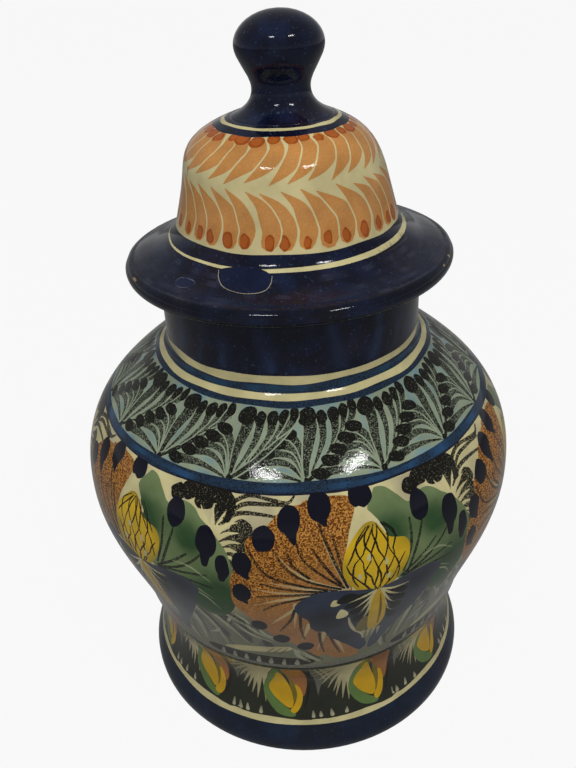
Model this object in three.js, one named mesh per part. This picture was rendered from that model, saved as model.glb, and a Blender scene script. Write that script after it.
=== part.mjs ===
// Lidded majolica jar: a thrown baluster jar of tin-glazed earthenware, and its
// hat-shaped lid with a drooping brim, a locating collar and a knob luted on top.
// Millimetres, +Z up. The origin is the centre of the plane that the foot rests on.

import * as THREE from "three";

// A lean is how far a wall moves outwards for each millimetre that it rises.

// Foot: a heavy rounded band that carries the jar, hollowed out underneath.
const FOOT_RADIUS = 79.6;
const FOOT_WIDEST_HEIGHT = 4;
const FOOT_EDGE = 2.2; // how far the band's lower edge is rounded in
const FOOT_RING_WIDTH = 13; // the flat bare ring that the jar stands on
const RECESS_DEPTH = 6; // hollow under the floor
const RECESS_DRAFT = 3; // how far the hollow's side leans in
const GROOVE_RADIUS = 75.8; // the shallow groove above the band
const GROOVE_HEIGHT = 17;
const GROOVE_LEAN = -0.3;

// Wall of the jar, from the waist over the belly and the shoulder to the mouth.
const WALL = 6.5;
const FLOOR_THICKNESS = 11;
const FLOOR_FILLET = 18; // how far up the wall the inside of the floor is rounded
const WAIST_RADIUS = 72.2;
const WAIST_HEIGHT = 38;
const TURN_RADIUS = 77.9; // where the belly turns under towards the waist
const TURN_HEIGHT = 60;
const TURN_LEAN = 0.19;
const BELLY_RADIUS = 94.7;
const BELLY_HEIGHT = 121;
const SHOULDER_RADIUS = 78.8;
const SHOULDER_HEIGHT = 161;
const SHOULDER_LEAN = -1.12;
const NECK_RADIUS = 53.2;
const NECK_HEIGHT = 192; // where the shoulder has become the neck
const NECK_WALL = 6;
const RIM_HEIGHT = 214.5; // the flat land that the lid rests on
const RIM_EDGE = 1.7; // rounding of the rim's two corners

// Lid. Its heights start at the face that rests on the jar's rim.
const COLLAR_CLEARANCE = 1.5; // between the lid's collar and the jar's mouth
const COLLAR_DEPTH = 13;
const COLLAR_WALL = 5;
const COLLAR_EDGE = 1.5; // rounding of the collar's lower corners
const BRIM_CLEARANCE = 1.6; // between the drooping brim and the neck
const BRIM_RADIUS = 65.8;
const BRIM_DROOP = 4.8; // how far the brim's lip hangs below the rim
const LIP_THICKNESS = 7.2;
const LIP_ROUNDING = 3.4; // how far the lip is rounded in, above and below
const DOME_FOOT_RADIUS = 47.1; // where the brim's top meets the dome
const DOME_FOOT_HEIGHT = 11.9;
const DOME_FOOT_LEAN = -1.1;
const DOME_RADIUS = 43.3;
const DOME_SPRING_HEIGHT = 18.5; // where the dome's wall starts
const DOME_LEAN = -0.27;
const DOME_SHOULDER_HEIGHT = 31.5; // where the wall starts to close in
const DOME_WALL = 5;
const DOME_HEIGHT = 55; // the small flat land that carries the knob
const CROWN_FALL = 6.3; // how far the crown's slope falls from the land to the corner
const CROWN_THICKNESS = 5;

// Knob. Its heights start at the land that it stands on.
const KNOB_SEAT_RADIUS = 19.5;
const KNOB_SEAT_RISE = 3.4; // height at which the flare's slope meets the stem
const KNOB_STEM_RADIUS = 10.9;
const KNOB_STEM_HEIGHT = 9.5;
const KNOB_RADIUS = 16.4;
const KNOB_WIDEST_HEIGHT = 24;
const KNOB_HEIGHT = 35.5;

// Facets of the turned shapes.
const FACETS = 48;
const KNOB_FACETS = 36;
const LONG_STEPS = 6;
const SHORT_STEPS = 4;
const EDGE_STEPS = 2;

// Handle lengths of a rounded corner, as shares of its sides.
const CIRCULAR = 0.5523;
const SLACK = 0.67; // flatter than an ellipse
const FULL = 0.8; // rounder than SLACK, close to the sharp corner

const MOUTH_RADIUS = NECK_RADIUS - NECK_WALL;
const COLLAR_RADIUS = MOUTH_RADIUS - COLLAR_CLEARANCE;

const at = (radius, height) => new THREE.Vector2(radius, height);

// A smooth stretch of wall between two points, with a lean at each end.
function wall(start, startLean, end, endLean, steps) {
  const third = (end.y - start.y) / 3;
  const lead = at(start.x + startLean * third, start.y + third);
  const trail = at(end.x - endLean * third, end.y - third);
  return new THREE.CubicBezierCurve(start, lead, trail, end).getPoints(steps);
}

// A rounded corner between two points, drawn towards the sharp corner.
function corner(start, sharp, end, fullness, steps) {
  const lead = start.clone().lerp(sharp, fullness);
  const trail = end.clone().lerp(sharp, fullness);
  return new THREE.CubicBezierCurve(start, lead, trail, end).getPoints(steps);
}

// A solid of revolution about +Z from stretches of (radius, height) points that
// run from the axis round the solid and back to the axis.
function turned(name, stretches, facets, material) {
  const profile = stretches.flat().filter((point, i, all) => {
    return i === 0 || !point.equals(all[i - 1]);
  });
  const geometry = new THREE.LatheGeometry(profile, facets).rotateX(Math.PI / 2);
  const mesh = new THREE.Mesh(geometry, material);
  mesh.name = name;
  return mesh;
}

// Outside of the jar, from under its floor up to the rim's land.
function jarOutside() {
  const ringOuter = FOOT_RADIUS - FOOT_EDGE;
  const ringInner = ringOuter - FOOT_RING_WIDTH;
  const foot = at(FOOT_RADIUS, FOOT_WIDEST_HEIGHT);
  const groove = at(GROOVE_RADIUS, GROOVE_HEIGHT);
  const waist = at(WAIST_RADIUS, WAIST_HEIGHT);
  const turn = at(TURN_RADIUS, TURN_HEIGHT);
  const belly = at(BELLY_RADIUS, BELLY_HEIGHT);
  const shoulder = at(SHOULDER_RADIUS, SHOULDER_HEIGHT);
  const neck = at(NECK_RADIUS, NECK_HEIGHT);
  const neckTop = at(NECK_RADIUS, RIM_HEIGHT - RIM_EDGE);
  const rim = at(NECK_RADIUS, RIM_HEIGHT);
  const land = at(NECK_RADIUS - RIM_EDGE, RIM_HEIGHT);
  return [
    [at(0, RECESS_DEPTH), at(ringInner - RECESS_DRAFT, RECESS_DEPTH), at(ringInner, 0)],
    corner(at(ringOuter, 0), at(FOOT_RADIUS, 0), foot, CIRCULAR, EDGE_STEPS),
    wall(foot, 0, groove, GROOVE_LEAN, SHORT_STEPS),
    wall(groove, GROOVE_LEAN, waist, 0, SHORT_STEPS),
    wall(waist, 0, turn, TURN_LEAN, SHORT_STEPS),
    wall(turn, TURN_LEAN, belly, 0, LONG_STEPS),
    wall(belly, 0, shoulder, SHOULDER_LEAN, LONG_STEPS),
    wall(shoulder, SHOULDER_LEAN, neck, 0, LONG_STEPS),
    corner(neckTop, rim, land, CIRCULAR, EDGE_STEPS),
  ];
}

// Inside of the jar, from the rim's land down to the middle of the floor.
function jarInside() {
  const floor = RECESS_DEPTH + FLOOR_THICKNESS;
  const land = at(MOUTH_RADIUS + RIM_EDGE, RIM_HEIGHT);
  const rim = at(MOUTH_RADIUS, RIM_HEIGHT);
  const mouth = at(MOUTH_RADIUS, RIM_HEIGHT - RIM_EDGE);
  const neck = at(MOUTH_RADIUS, NECK_HEIGHT);
  const shoulder = at(SHOULDER_RADIUS - WALL, SHOULDER_HEIGHT - WALL);
  const belly = at(BELLY_RADIUS - WALL, BELLY_HEIGHT);
  const turn = at(TURN_RADIUS - WALL, TURN_HEIGHT);
  const well = at(WAIST_RADIUS - WALL, floor + FLOOR_FILLET);
  const wellCorner = at(WAIST_RADIUS - WALL, floor);
  const wellFloor = at(WAIST_RADIUS - WALL - FLOOR_FILLET, floor);
  return [
    corner(land, rim, mouth, CIRCULAR, EDGE_STEPS),
    wall(neck, 0, shoulder, SHOULDER_LEAN, LONG_STEPS),
    wall(shoulder, SHOULDER_LEAN, belly, 0, SHORT_STEPS),
    wall(belly, 0, turn, TURN_LEAN, SHORT_STEPS),
    wall(turn, TURN_LEAN, well, 0, SHORT_STEPS),
    corner(well, wellCorner, wellFloor, CIRCULAR, SHORT_STEPS),
    [at(0, floor)],
  ];
}

// Underside of the lid: the hollow dome, the collar and the brim out to its lip.
function lidInside() {
  const crown = DOME_HEIGHT - CROWN_THICKNESS;
  const shoulderRadius = DOME_RADIUS + DOME_LEAN * (DOME_SHOULDER_HEIGHT - DOME_SPRING_HEIGHT);
  const shoulder = at(shoulderRadius - DOME_WALL, DOME_SHOULDER_HEIGHT);
  const crownCorner = at(shoulderRadius - DOME_WALL, crown);
  const spring = at(DOME_RADIUS - DOME_WALL, DOME_SPRING_HEIGHT);
  const collarInner = COLLAR_RADIUS - COLLAR_WALL;
  const collarEnd = -COLLAR_DEPTH;
  const brimInner = at(NECK_RADIUS + BRIM_CLEARANCE, 0);
  const lipInner = at(BRIM_RADIUS - LIP_ROUNDING, -BRIM_DROOP);
  return [
    [at(0, crown)],
    corner(at(KNOB_SEAT_RADIUS - DOME_WALL, crown), crownCorner, shoulder, CIRCULAR, LONG_STEPS),
    wall(spring, DOME_LEAN, at(collarInner, 0), 0, SHORT_STEPS),
    corner(
      at(collarInner, collarEnd + COLLAR_EDGE),
      at(collarInner, collarEnd),
      at(collarInner + COLLAR_EDGE, collarEnd),
      CIRCULAR,
      EDGE_STEPS,
    ),
    corner(
      at(COLLAR_RADIUS - COLLAR_EDGE, collarEnd),
      at(COLLAR_RADIUS, collarEnd),
      at(COLLAR_RADIUS, collarEnd + COLLAR_EDGE),
      CIRCULAR,
      EDGE_STEPS,
    ),
    [at(COLLAR_RADIUS, 0)],
    corner(brimInner, at(brimInner.x, lipInner.y), lipInner, CIRCULAR, SHORT_STEPS),
  ];
}

// Top of the lid, from the brim's lip up the dome to the land under the knob.
function lidOutside() {
  const lipMiddle = LIP_THICKNESS / 2 - BRIM_DROOP;
  const lipUnder = at(BRIM_RADIUS - LIP_ROUNDING, -BRIM_DROOP);
  const lipTop = at(BRIM_RADIUS - LIP_ROUNDING, LIP_THICKNESS - BRIM_DROOP);
  const lip = at(BRIM_RADIUS, lipMiddle);
  const domeFoot = at(DOME_FOOT_RADIUS, DOME_FOOT_HEIGHT);
  const brimLean = (domeFoot.x - lipTop.x) / (domeFoot.y - lipTop.y);
  const spring = at(DOME_RADIUS, DOME_SPRING_HEIGHT);
  const shoulderRadius = DOME_RADIUS + DOME_LEAN * (DOME_SHOULDER_HEIGHT - DOME_SPRING_HEIGHT);
  const shoulder = at(shoulderRadius, DOME_SHOULDER_HEIGHT);
  const crownHeight = DOME_HEIGHT - CROWN_FALL;
  const crownRadius = shoulderRadius + DOME_LEAN * (crownHeight - DOME_SHOULDER_HEIGHT);
  const land = at(KNOB_SEAT_RADIUS, DOME_HEIGHT);
  return [
    corner(lipUnder, at(BRIM_RADIUS, lipUnder.y), lip, CIRCULAR, EDGE_STEPS),
    corner(lip, at(BRIM_RADIUS, lipTop.y), lipTop, CIRCULAR, EDGE_STEPS),
    wall(lipTop, brimLean, domeFoot, DOME_FOOT_LEAN, SHORT_STEPS),
    wall(domeFoot, DOME_FOOT_LEAN, spring, DOME_LEAN, EDGE_STEPS),
    corner(shoulder, at(crownRadius, crownHeight), land, FULL, LONG_STEPS),
    [at(0, DOME_HEIGHT)],
  ];
}

// The knob: a flared stem and a slightly flattened ball, thrown solid.
function knobProfile() {
  const seat = at(KNOB_SEAT_RADIUS, 0);
  const stem = at(KNOB_STEM_RADIUS, KNOB_STEM_HEIGHT);
  const widest = at(KNOB_RADIUS, KNOB_WIDEST_HEIGHT);
  const top = at(0, KNOB_HEIGHT);
  return [
    [at(0, 0)],
    corner(seat, at(KNOB_STEM_RADIUS, KNOB_SEAT_RISE), stem, SLACK, SHORT_STEPS),
    wall(stem, 0, widest, 0, SHORT_STEPS),
    corner(widest, at(KNOB_RADIUS, KNOB_HEIGHT), top, CIRCULAR, LONG_STEPS),
  ];
}

// Painted majolica: cream tin glaze under a close pattern in four colours.
const paintedGlaze = new THREE.MeshStandardMaterial({
  color: 0xa89a6c,
  roughness: 0.2,
  metalness: 0,
});

// The lid is mostly cobalt, with a band of orange feathers round the dome.
const featherGlaze = new THREE.MeshStandardMaterial({
  color: 0xb4662f,
  roughness: 0.2,
  metalness: 0,
});

// Solid cobalt, nearly black where the glaze is thick.
const cobaltGlaze = new THREE.MeshStandardMaterial({
  color: 0x141a38,
  roughness: 0.15,
  metalness: 0,
});

const jar = turned("jar", [...jarOutside(), ...jarInside()], FACETS, paintedGlaze);
const lid = turned("lid", [...lidInside(), ...lidOutside()], FACETS, featherGlaze);
const knob = turned("lid_knob", knobProfile(), KNOB_FACETS, cobaltGlaze);
knob.position.z = DOME_HEIGHT;

const cover = new THREE.Group();
cover.add(lid, knob);
cover.position.z = RIM_HEIGHT;

const lidded = new THREE.Group();
lidded.add(jar, cover);

export default lidded;
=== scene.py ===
import math
import random

import bpy
import numpy as np
from mathutils import Matrix, Vector
from mathutils.geometry import delaunay_2d_cdt, interpolate_bezier
from mathutils.kdtree import KDTree


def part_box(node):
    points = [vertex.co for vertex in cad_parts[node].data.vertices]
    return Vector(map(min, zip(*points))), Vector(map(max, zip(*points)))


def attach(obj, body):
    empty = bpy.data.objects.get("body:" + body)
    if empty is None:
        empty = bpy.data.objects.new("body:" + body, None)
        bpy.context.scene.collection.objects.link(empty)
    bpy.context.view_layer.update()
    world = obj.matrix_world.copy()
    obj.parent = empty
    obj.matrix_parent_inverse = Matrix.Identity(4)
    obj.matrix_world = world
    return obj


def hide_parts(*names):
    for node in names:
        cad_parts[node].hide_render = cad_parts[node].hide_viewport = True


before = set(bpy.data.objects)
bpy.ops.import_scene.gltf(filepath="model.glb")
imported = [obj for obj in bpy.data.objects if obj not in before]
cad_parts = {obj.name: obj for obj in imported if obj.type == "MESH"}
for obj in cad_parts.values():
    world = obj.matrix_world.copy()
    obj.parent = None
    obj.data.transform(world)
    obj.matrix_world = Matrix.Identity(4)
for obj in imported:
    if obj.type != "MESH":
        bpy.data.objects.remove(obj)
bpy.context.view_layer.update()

# The camera. The photograph was taken from just above the lid with a hand-held
# telephone, tipped down and slightly rolled.
CAMERA_PLACE = (0, -0.2996, 0.3358)
TIPPED_DOWN = math.radians(31.59)
TURNED_LEFT = math.radians(0.59)
ROLLED = math.radians(-2.985)
LENS = 36.64  # millimetres, on a sensor 36 mm high
NEAREST_SEEN = 0.01


def put(name, data):
    """Puts a new object in the scene."""
    thing = bpy.data.objects.new(name, data)
    bpy.context.scene.collection.objects.link(thing)
    return thing


camera = put("camera", bpy.data.cameras.new("camera"))
camera.data.lens = LENS
camera.data.clip_start = NEAREST_SEEN
camera.matrix_world = (
    Matrix.Translation(CAMERA_PLACE)
    @ Matrix.Rotation(TURNED_LEFT, 4, "Z")
    @ Matrix.Rotation(math.pi / 2 - TIPPED_DOWN, 4, "X")
    @ Matrix.Rotation(ROLLED, 4, "Z")
)
bpy.context.scene.camera = camera

# The jar. One wall of earthenware thrown on the wheel: a heavy foot band, a
# waist, a round belly, a shoulder and a neck. It was dipped in cream tin glaze,
# painted by hand in a few oxides and fired once more.
MM = 0.001
TINY = 1e-7
# A pair is a radius and a height. A lean is how far the wall moves out while it rises by one.
FOOT_RADIUS = 0.0801
FOOT_WIDEST_HEIGHT = 0.004
FOOT_EDGE = 0.001
FOOT_RING_WIDTH = 0.0147
FOOT_GLAZE_HEIGHT = 0.00024  # where the glaze ends, on the foot's rounded edge
RING_ROUNDING = 0.0008  # the foot ring's inner edge, smoothed with a wet sponge
RECESS_DEPTH = 0.006
RECESS_DRAFT = 0.003
GROOVE = (0.0758, 0.017)
GROOVE_LEAN = -0.3
WALL = 0.0065
FLOOR_THICKNESS = 0.011
FLOOR_FILLET = 0.018
WAIST = (0.0725, 0.038)
TURN = (0.0787, 0.060)
TURN_LEAN = 0.19
BELLY_HEIGHT = 0.121
SHOULDER = (0.0788, 0.161)
SHOULDER_LEAN = -1.02
SHOULDER_TOP_LEAN = -1.4
INNER_SHOULDER_LEAN = -1.12
NECK_BEND = ((0.0575, 0.1785), (0.0537, 0.1809), (0.0532, 0.1835))  # from shoulder to neck
NECK = (0.0532, 0.192)
NECK_WALL = 0.006
RIM_EDGE = 0.0017
CIRCULAR = 0.5523  # handle length of a round corner, as a share of its side
BELLY_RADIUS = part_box("jar")[1].x
RIM_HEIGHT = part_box("jar")[1].z
MOUTH_RADIUS = NECK[0] - NECK_WALL
SIDES = 120  # facets round the wheel's axis, 3 degrees each
ROW_TURN = math.radians(7)  # the most that the wall bends from one row of facets to the next
ROW_SPACING = 0.004


def wall(start, start_lean, end, end_lean, steps=64):
    """A smooth stretch of wall between two (radius, height) points, with its lean at each end."""
    third = (end[1] - start[1]) / 3
    lead = (start[0] + start_lean * third, start[1] + third)
    trail = (end[0] - end_lean * third, end[1] - third)
    return [tuple(p)[:2] for p in interpolate_bezier(start, lead, trail, end, steps + 1)]


def corner(start, sharp, end, fullness=CIRCULAR, steps=24):
    """A rounded corner between two points, drawn towards the sharp corner."""
    lead = [a + (s - a) * fullness for a, s in zip(start, sharp)]
    trail = [b + (s - b) * fullness for b, s in zip(end, sharp)]
    return [tuple(p)[:2] for p in interpolate_bezier(start, lead, trail, end, steps + 1)]


def rounded(sharp, before, after):
    """A right-angled corner, rounded between two offsets from it."""
    start, end = [(sharp[0] + x, sharp[1] + y) for x, y in (before, after)]
    return corner(start, sharp, end)


class Profile:
    """Half a section of a thrown piece, with the distance along it."""

    def __init__(self, *stretches):
        points = [p for stretch in stretches for p in stretch]
        fine = [points[0]]
        for p in points[1:]:
            start = fine[-1]
            gap = math.dist(p, start)
            if gap < TINY:
                continue
            pieces = math.ceil(gap / MM)
            for i in range(1, pieces + 1):
                fine.append(tuple(a + (b - a) * i / pieces for a, b in zip(start, p)))
        self.points = np.array(fine)
        steps = np.hypot(*np.diff(self.points, axis=0).T)
        self.along = np.concatenate([[0], np.cumsum(steps)])
        tangent = np.gradient(self.points, self.along, axis=0)
        tangent /= np.linalg.norm(tangent, axis=1, keepdims=True)
        self.normals = np.stack([tangent[:, 1], -tangent[:, 0]], 1)

    def at(self, along):
        """Radius and height at a distance along the profile."""
        return tuple(np.interp(along, self.along, axis) for axis in self.points.T)

    def reach(self, height, after=0.0):
        """The distance along the profile at which it first reaches a height."""
        found = (self.points[:, 1] >= height) & (self.along >= after)
        return float(self.along[found][0])

    def beside(self, radius, height):
        """The distance along the profile to its point nearest to a radius and height."""
        return float(self.along[np.hypot(*(self.points - (radius, height)).T).argmin()])

    def rows(self, start, end):
        """Distances between two others, close together where the profile bends."""
        inside = (self.along > start) & (self.along < end)
        chosen, last = [start], start
        bent, before = 0.0, None
        for along, normal in zip(self.along[inside], self.normals[inside]):
            if before is not None:
                bent += math.acos(min(1.0, max(-1.0, float(before @ normal))))
            before = normal
            if bent > ROW_TURN or along - last > ROW_SPACING:
                chosen.append(float(along))
                last, bent = along, 0.0
        return [*chosen, end]


def on_wheel(profile, degrees, along):
    """Points on a thrown surface. 0 degrees faces the camera and 90 is to its right."""
    radius, height = profile.at(along)
    angle = np.radians(degrees)
    return np.stack([radius * np.sin(angle), -radius * np.cos(angle), height], 1)


def throw(profile, start, end):
    """Spins a stretch of a profile round the wheel's axis."""
    rows = np.array(profile.rows(start, end))
    verts = on_wheel(profile, np.full(len(rows), -180.0), rows)
    mesh = bpy.data.meshes.new("thrown_wall")
    mesh.from_pydata(verts.tolist(), [(i, i + 1) for i in range(len(rows) - 1)], [])
    piece = put("thrown_wall", mesh)
    take_up(piece)
    bpy.ops.object.mode_set(mode="EDIT")
    bpy.ops.mesh.select_all(action="SELECT")
    bpy.ops.mesh.spin(steps=SIDES, angle=2 * math.pi, center=(0, 0, 0), axis=(0, 0, 1))
    weld(gap=2e-6)
    bpy.ops.object.mode_set(mode="OBJECT")
    return piece


def weld(gap):
    """Merges points that are closer together than this, and drops facets with no area."""
    bpy.ops.mesh.select_all(action="SELECT")
    bpy.ops.mesh.remove_doubles(threshold=gap)
    bpy.ops.mesh.dissolve_degenerate(threshold=TINY)


def take_up(*pieces):
    """Selects only these pieces, the first of them active."""
    bpy.ops.object.select_all(action="DESELECT")
    for piece in pieces:
        piece.select_set(True)
    bpy.context.view_layer.objects.active = pieces[0]


def foot_to_rim():
    """The jar's whole profile, from under its floor, up the outside and down the inside."""
    ring_outer = FOOT_RADIUS - FOOT_EDGE
    ring_inner = ring_outer - FOOT_RING_WIDTH
    foot = (FOOT_RADIUS, FOOT_WIDEST_HEIGHT)
    belly = (BELLY_RADIUS, BELLY_HEIGHT)
    floor = RECESS_DEPTH + FLOOR_THICKNESS
    inner_belly = (BELLY_RADIUS - WALL, BELLY_HEIGHT)
    inner_shoulder = (SHOULDER[0] - WALL, SHOULDER[1] - WALL)
    inner_turn = (TURN[0] - WALL, TURN[1])
    well = WAIST[0] - WALL
    edge = RING_ROUNDING
    return Profile(
        [(0, RECESS_DEPTH)],
        corner(
            (ring_inner - RECESS_DRAFT - edge * 3, RECESS_DEPTH),
            (ring_inner - RECESS_DRAFT, RECESS_DEPTH),
            (ring_inner - RECESS_DRAFT / 2, RECESS_DEPTH / 2),
        ),
        rounded((ring_inner, 0), (-edge / 2, edge), (edge, 0)),
        corner((ring_outer, 0), (FOOT_RADIUS, 0), foot),
        wall(foot, 0, GROOVE, GROOVE_LEAN),
        wall(GROOVE, GROOVE_LEAN, WAIST, 0),
        wall(WAIST, 0, TURN, TURN_LEAN),
        wall(TURN, TURN_LEAN, belly, 0),
        wall(belly, 0, SHOULDER, SHOULDER_LEAN),
        wall(SHOULDER, SHOULDER_LEAN, NECK_BEND[0], SHOULDER_TOP_LEAN),
        corner(*NECK_BEND),
        rounded((NECK[0], RIM_HEIGHT), (0, -RIM_EDGE), (-RIM_EDGE, 0)),
        rounded((MOUTH_RADIUS, RIM_HEIGHT), (RIM_EDGE, 0), (0, -RIM_EDGE)),
        wall((MOUTH_RADIUS, NECK[1]), 0, inner_shoulder, INNER_SHOULDER_LEAN),
        wall(inner_shoulder, INNER_SHOULDER_LEAN, inner_belly, 0),
        wall(inner_belly, 0, inner_turn, TURN_LEAN),
        wall(inner_turn, TURN_LEAN, (well, floor + FLOOR_FILLET), 0),
        rounded((well, floor), (0, FLOOR_FILLET), (-FLOOR_FILLET, 0)),
        [(0, floor)],
    )


jar_profile = foot_to_rim()


def linear(hex_colour):
    """A colour written as sRGB hex, in the linear numbers that Blender mixes."""
    parts = [int(hex_colour[i : i + 2], 16) / 255 for i in (1, 3, 5)]
    return tuple(c / 12.92 if c <= 0.04045 else ((c + 0.055) / 1.055) ** 2.4 for c in parts)


ROUNDED_FROM = 0.3  # half the width, in millimetres, from which a stroke has a round end


def past_the_seam(step):
    """Degrees all round the wheel, and a bit beyond the seam at the back."""
    return np.arange(-183.0, 183.1, step)


class Sheet:
    """A band of wall unrolled flat for painting: degrees round it, and millimetres up
    the wall from a chosen height. Strokes are laid on it from the first to the last."""

    def __init__(self, profile, low, high, seed):
        self.profile, self.low, self.high = profile, low, high
        self.start = low
        self.centre = 0.0
        self.strokes = []
        self.chance = random.Random(seed)

    def measure_from(self, height):
        """Heights of what is laid next are counted up the wall from this one."""
        self.start = self.profile.reach(height, self.low)

    def degree(self, rise):
        """Millimetres that one degree spans at a height on the sheet."""
        radius = self.profile.at(self.start + np.asarray(rise) * MM)[0]
        return np.radians(radius) / MM

    def lay(self, outline, paint, load=None):
        """Lays one stroke. Its load, where given, is a function of its (degrees, rise)
        points that says how much paint the brush leaves there."""
        outline = np.array(outline, float)
        left, right = outline[:, 0].min(), outline[:, 0].max()
        for turn in (-360, 0, 360):
            if right + turn > -180 and left + turn < 180:
                self.strokes.append((outline + (turn, 0), paint, load, turn, self.start))

    def jitter(self, amount):
        """How far the hand strays this time, at most."""
        return self.chance.uniform(-amount, amount)

    def moved(self, points, wander):
        """Given points, each a little off and turned to where the motif stands."""
        return [
            (self.centre + x + self.jitter(wander) / float(self.degree(y)), y + self.jitter(wander))
            for x, y in points
        ]

    def waver(self, amount, first=2, last=16):
        """An offset that wanders round the whole jar and meets itself, as a hand-held
        brush does against the turning wheel."""
        waves = [
            (n, self.jitter(1) / math.sqrt(n), self.chance.uniform(0, 2 * math.pi))
            for n in range(first, last)
        ]
        return lambda degrees: amount * sum(
            size * np.sin(np.radians(degrees) * n + phase) for n, size, phase in waves
        )

    def cloud(self, amount):
        """A load that shows a second wash in soft patches all over the sheet."""
        waves = [
            (n, self.jitter(0.16), self.jitter(0.6), self.chance.uniform(0, 2 * math.pi))
            for n in range(4, 40, 4)
        ]

        def load(spots):
            turn, rise = np.radians(spots[:, 0]), spots[:, 1]
            swell = sum(size * np.sin(turn * n + rise * lean + phase) for n, lean, size, phase in waves)
            return (amount * (0.4 + swell)).clip(0, 1)

        return load

    def pool(self, *places):
        """A load that is strong in the middle of each (degrees, rise, reach) and fades."""
        centre = self.centre

        def load(spots):
            total = 0
            for x, y, reach in places:
                across = (spots[:, 0] - centre - x) * float(self.degree(y))
                total += np.exp(-(across**2 + ((spots[:, 1] - y) / 1.5) ** 2) / reach**2)
            return total.clip(0, 1)

        return load

    def ring(self, low, high, paint, waver=0.35, load=None):
        """A band painted round the jar on the wheel."""
        around = past_the_seam(3)
        under, over = self.waver(waver), self.waver(waver)
        bottom = np.stack([around, low + under(around)], 1)
        top = np.stack([around, high + over(around)], 1)
        self.strokes.append((np.vstack([bottom, top[::-1]]), paint, load, 0, self.start))

    def patch(self, points, paint, load=None, wander=0.25, per_span=4):
        """A filled shape through given points."""
        self.lay(flowing(self.moved(points, wander), True, per_span), paint, load)

    def shaded(self, points, paint, shade, *places):
        """A filled shape with a second colour pooled in places."""
        self.patch(points, paint)
        self.patch(points, shade, self.pool(*places), 0.1)

    def dab(self, x, y, wide, tall, paint, ragged=0.25, lean=0.0):
        """A round touch of the brush, this many millimetres across and high."""
        degree, around = float(self.degree(y)), []
        for k in range(10):
            across = wide / 2 * math.sin(k * math.pi / 5)
            up = tall / 2 * math.cos(k * math.pi / 5)
            around.append((x + (across + up * lean) / degree, y + up))
        self.patch(around, paint, None, ragged, 2)

    def brush(self, points, widths, paint, loads=None, wander=0.2, per_span=3):
        """One brush stroke. Its points run along its middle, its widths in millimetres
        are spread evenly from start to end, and so are its loads."""
        spine = flowing(self.moved(points, wander), False, per_span)
        degree = self.degree(spine[:, 1])
        flat = np.stack([spine[:, 0] * degree.mean(), spine[:, 1]], 1)
        lengths = np.concatenate([[0], np.cumsum(np.hypot(*np.diff(flat, axis=0).T))])
        share = lengths / lengths[-1]
        half = spread(widths, share) / 2 * (1 + self.jitter(0.1))
        along = np.gradient(flat, axis=0)
        along /= np.linalg.norm(along, axis=1, keepdims=True)
        across = np.stack([-along[:, 1], along[:, 0]], 1)
        left, right = flat + across * half[:, None], flat - across * half[:, None]

        def round_end(end, sense):
            turn = np.linspace(0, math.pi, 5 if half[end] > ROUNDED_FROM else 2)[1:-1, None]
            arc = across[end] * np.cos(turn) + along[end] * np.sin(turn)
            return flat[end] + arc * half[end] * sense

        outline = np.vstack([left, round_end(-1, 1), right[::-1], round_end(0, -1)])
        outline /= (degree.mean(), 1)

        def load(spots):
            gap = (spots[:, None] - spine[None]) * (degree.mean(), 1)
            return spread(loads, share[(gap**2).sum(2).argmin(1)])

        self.lay(outline, paint, load if loads else None)

    def edged(self, ground, gap, points, widths, paint, loads=None):
        """A brush stroke whose edges stay clear of its neighbours, which it overlaps."""
        before = self.chance.getstate()
        self.brush(points, [width + gap for width in widths], ground, per_span=2)
        self.chance.setstate(before)
        self.brush(points, widths, paint, loads)


def spread(values, share):
    """Given values, eased from one to the next along a stroke."""
    line = flowing([(i, value) for i, value in enumerate(values)], False, 6)
    return np.interp(share * (len(values) - 1), line[:, 0], line[:, 1]).clip(0.05)


def flowing(points, closed, per_span):
    """A smooth line through points, by Catmull and Rom's rule."""
    p = np.array(points, float)
    if closed:
        held = np.vstack([p[-1:], p, p[:2]])
    else:
        held = np.vstack([2 * p[0] - p[1], p, 2 * p[-1] - p[-2]])
    t = np.linspace(0, 1, per_span, endpoint=False)[:, None]
    line = [
        b + t / 2 * (c - a + t * (2 * a - 5 * b + 4 * c - d + t * (3 * (b - c) + d - a)))
        for a, b, c, d in zip(held, held[1:], held[2:], held[3:])
    ]
    return np.vstack(line if closed else [*line, p[-1:]])


SKIN_ROW = 3  # millimetres between the skin's own rows of points
CUT_PRECISION = 1e-4


def paint(colour=None, ink=0.0, speckle=0.0, cobalt=0.0):
    """What a brush carries. With no colour it is thin black, which lets what is under
    it show between its grains."""
    return {"colour": colour and linear(colour), "grain": (ink, speckle, cobalt)}


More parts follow.
